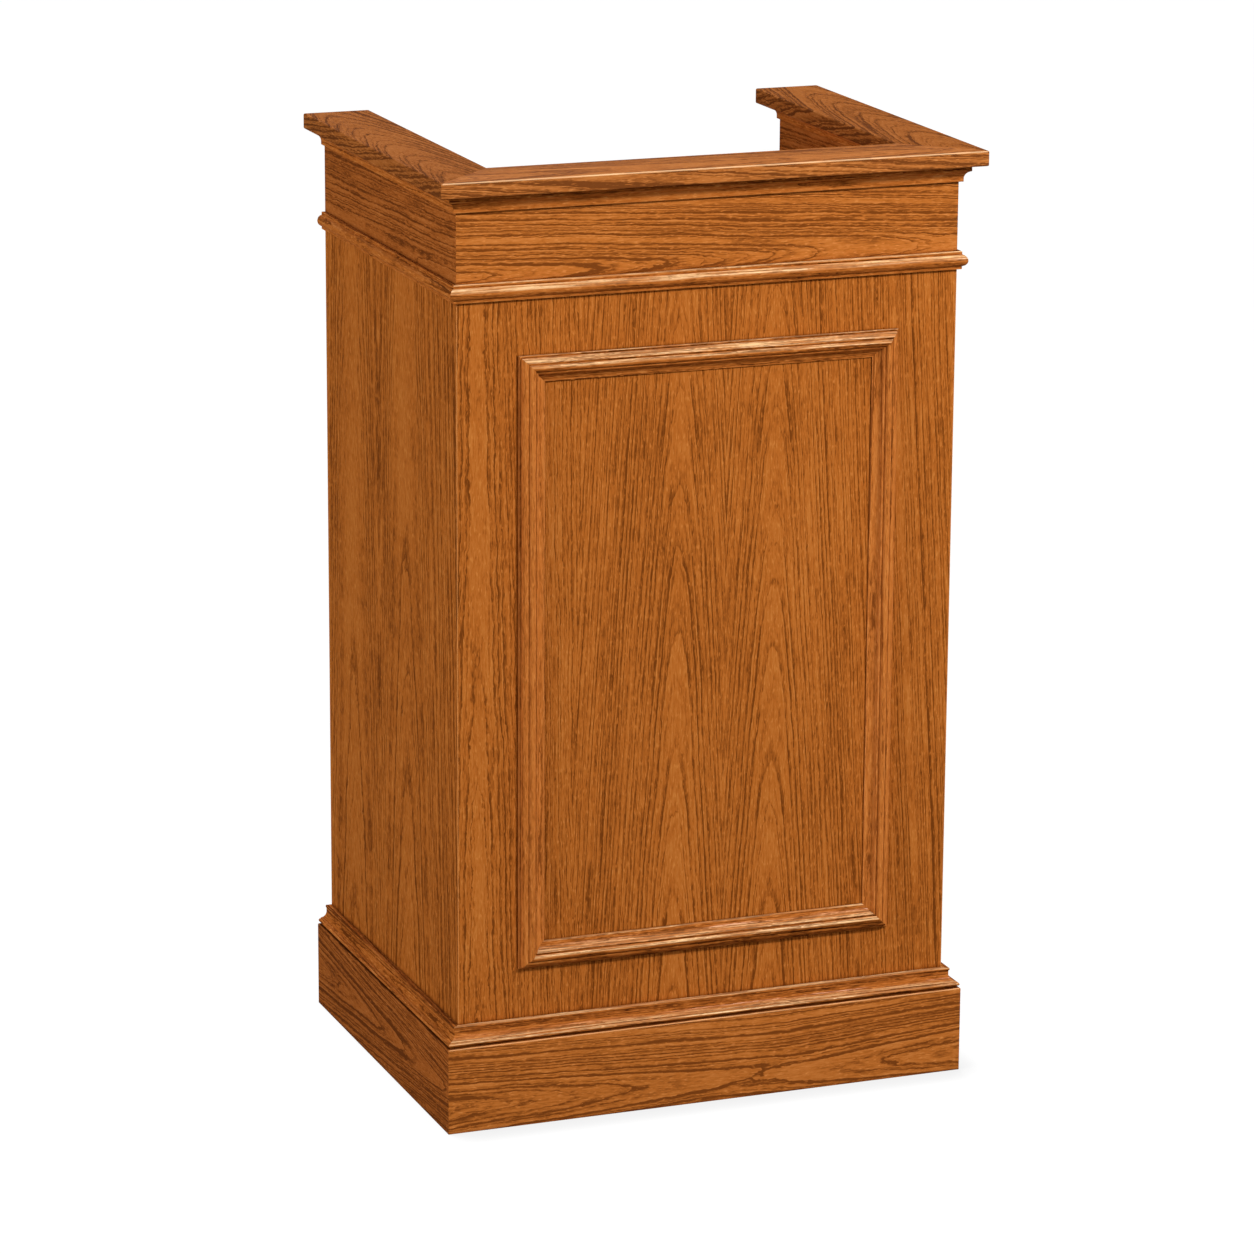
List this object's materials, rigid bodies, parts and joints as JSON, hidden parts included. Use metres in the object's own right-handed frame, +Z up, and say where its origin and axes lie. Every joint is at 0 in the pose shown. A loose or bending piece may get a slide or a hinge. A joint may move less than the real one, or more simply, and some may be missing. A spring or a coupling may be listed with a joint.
{
  "type": "pulpit",
  "caption": "Free-standing oak pulpit with a mitred U-shaped cap, framed front panel, moulded base, open back, sloping book desk and shelves.",
  "frame": {"origin": "centre of the object's box on the floor, under the middle of the cap's width and depth", "axes": "+Z up; the framed front faces -Y and the open back +Y; +X runs along the width, to the right of someone who faces the front"},
  "size_m": [0.694, 0.527, 1.168],
  "materials": {
    "stained_oak_veneer": "red oak veneer, medium reddish-brown stain, satin lacquer",
    "stained_oak_solid": "solid red oak, medium reddish-brown stain, satin lacquer",
    "stained_oak_moulding": "machined solid red oak moulding, medium reddish-brown stain, satin lacquer",
    "unfinished_hardwood": "unfinished hardwood",
    "steel_fixings": "bright zinc-plated steel"
  },
  "bodies": {
    "root": {"front_panel": "stained_oak_veneer", "left_side_panel": "stained_oak_veneer", "right_side_panel": "stained_oak_veneer", "left_corner_spline": "unfinished_hardwood", "right_corner_spline": "unfinished_hardwood", "left_back_edging": "stained_oak_solid", "right_back_edging": "stained_oak_solid", "front_frieze_board": "stained_oak_solid", "left_frieze_board": "stained_oak_solid", "right_frieze_board": "stained_oak_solid", "frieze_splines": "unfinished_hardwood", "frieze_dowels": "unfinished_hardwood", "front_cap_board": "stained_oak_solid", "left_cap_board": "stained_oak_solid", "right_cap_board": "stained_oak_solid", "cap_biscuits": "unfinished_hardwood", "cap_dowels": "unfinished_hardwood", "front_crown_moulding": "stained_oak_moulding", "left_crown_moulding": "stained_oak_moulding", "right_crown_moulding": "stained_oak_moulding", "front_inner_crown": "stained_oak_moulding", "left_inner_crown": "stained_oak_moulding", "right_inner_crown": "stained_oak_moulding", "front_bead_moulding": "stained_oak_moulding", "left_bead_moulding": "stained_oak_moulding", "right_bead_moulding": "stained_oak_moulding", "frame_top_moulding": "stained_oak_moulding", "frame_bottom_moulding": "stained_oak_moulding", "frame_left_moulding": "stained_oak_moulding", "frame_right_moulding": "stained_oak_moulding", "front_base_board": "stained_oak_solid", "left_base_board": "stained_oak_solid", "right_base_board": "stained_oak_solid", "front_base_moulding": "stained_oak_moulding", "left_base_moulding": "stained_oak_moulding", "right_base_moulding": "stained_oak_moulding", "base_screws": "steel_fixings", "base_glue_blocks": "unfinished_hardwood", "moulding_pins": "steel_fixings", "bottom_shelf": "stained_oak_veneer", "bottom_shelf_edging": "stained_oak_solid", "middle_shelf": "stained_oak_veneer", "middle_shelf_edging": "stained_oak_solid", "toe_board": "stained_oak_veneer", "desk_board": "stained_oak_veneer", "book_stop": "stained_oak_solid", "left_desk_cleat": "unfinished_hardwood", "right_desk_cleat": "unfinished_hardwood", "front_desk_cleat": "unfinished_hardwood", "cleat_screws": "steel_fixings", "desk_rail": "stained_oak_solid", "rail_dowels": "unfinished_hardwood"}
  },
  "joints": []
}
